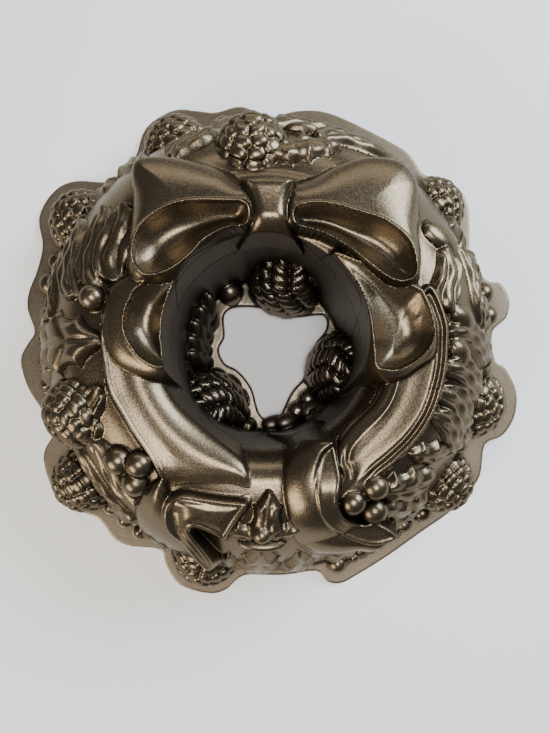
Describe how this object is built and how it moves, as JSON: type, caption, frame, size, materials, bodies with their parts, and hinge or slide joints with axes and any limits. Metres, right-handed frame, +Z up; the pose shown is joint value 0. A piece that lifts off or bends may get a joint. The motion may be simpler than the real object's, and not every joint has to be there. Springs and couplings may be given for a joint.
{
  "type": "bundt pan",
  "caption": "Cast ring cake pan shaped as a wreath, with a ribbon bow, pine cones, berries and holly leaves in relief and a hollow centre tube.",
  "frame": {"origin": "middle of the rim's bounding box, in the plane that the rim rests on", "axes": "+Z up through the crown when the pan stands on its rim, +Y towards the knot of the bow, +X to the right of the bow"},
  "size_m": [0.2612, 0.2528, 0.0905],
  "materials": {
    "cast_bronze": "fine metallic flake coating, satin",
    "cast_rim": "fine metallic flake coating on the flat rim and web",
    "cast_tube": "dark satin coating inside the tube"
  },
  "bodies": {
    "root": {"rim_flange": "cast_rim", "outer_wall_lower": "cast_bronze", "outer_wall_upper": "cast_bronze", "crown": "cast_bronze", "centre_tube": "cast_tube", "tube_web": "cast_rim", "bow_knot": "cast_bronze", "bow_loop_left": "cast_bronze", "bow_loop_right": "cast_bronze", "lower_loop_left": "cast_bronze", "lower_loop_right": "cast_bronze", "ribbon_left": "cast_bronze", "ribbon_right": "cast_bronze", "ribbon_tail_left": "cast_bronze", "ribbon_tail_right": "cast_bronze", "pinecone_1": "cast_bronze", "pinecone_2": "cast_bronze", "pinecone_3": "cast_bronze", "pinecone_4": "cast_bronze", "pinecone_5": "cast_bronze", "pinecone_6": "cast_bronze", "pinecone_7": "cast_bronze", "pinecone_8": "cast_bronze", "pinecone_9": "cast_bronze", "tube_pinecone_1": "cast_tube", "tube_pinecone_2": "cast_tube", "tube_pinecone_3": "cast_tube", "berries_top": "cast_bronze", "berries_left": "cast_bronze", "berries_lower_left": "cast_bronze", "berries_lower_right": "cast_bronze", "berries_right": "cast_bronze", "berries_bottom": "cast_bronze", "tube_berries": "cast_tube", "holly_top": "cast_bronze", "holly_left": "cast_bronze", "holly_lower_left": "cast_bronze", "holly_lower_right": "cast_bronze", "holly_right": "cast_bronze", "star_flower": "cast_bronze"}
  },
  "joints": []
}
